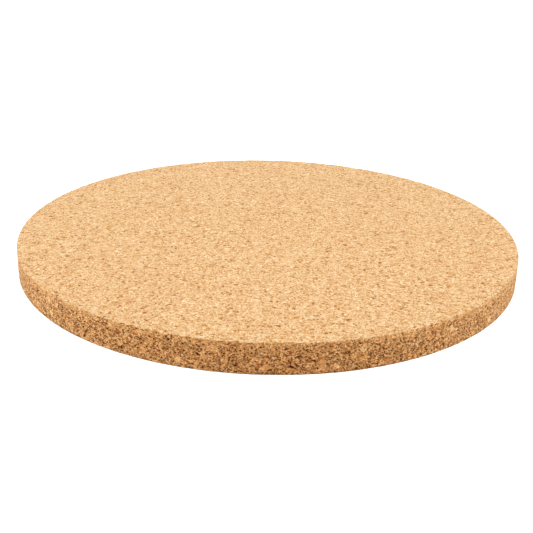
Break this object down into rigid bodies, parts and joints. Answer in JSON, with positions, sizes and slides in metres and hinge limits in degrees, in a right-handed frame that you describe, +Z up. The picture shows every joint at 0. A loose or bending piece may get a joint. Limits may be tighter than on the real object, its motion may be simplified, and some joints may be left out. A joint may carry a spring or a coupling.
{
  "type": "round cork board",
  "caption": "Flat round disc of pressed granulated cork, frameless, with sanded faces, a cut porous rim and coarse pale, golden and bark-dark granules showing flush in its surfaces.",
  "frame": {"origin": "centre of the underside, on the surface that the disc lies on", "axes": "+Z up through the disc's thickness; +X and +Y in its plane, where no direction differs from another"},
  "size_m": [0.1778, 0.1778, 0.0102],
  "materials": {
    "pressed_cork": "sanded cork, matte",
    "pale_cork": "sanded cork, matte",
    "golden_cork": "sanded cork, matte",
    "bark_cork": "sanded cork with bark, matte"
  },
  "bodies": {
    "root": {"pressed_slab": "pressed_cork", "top_pale_granules": "pale_cork", "top_golden_granules": "golden_cork", "top_bark_granules": "bark_cork", "underside_pale_granules": "pale_cork", "underside_golden_granules": "golden_cork", "underside_bark_granules": "bark_cork", "rim_pale_granules": "pale_cork", "rim_golden_granules": "golden_cork", "rim_bark_granules": "bark_cork"}
  },
  "joints": []
}
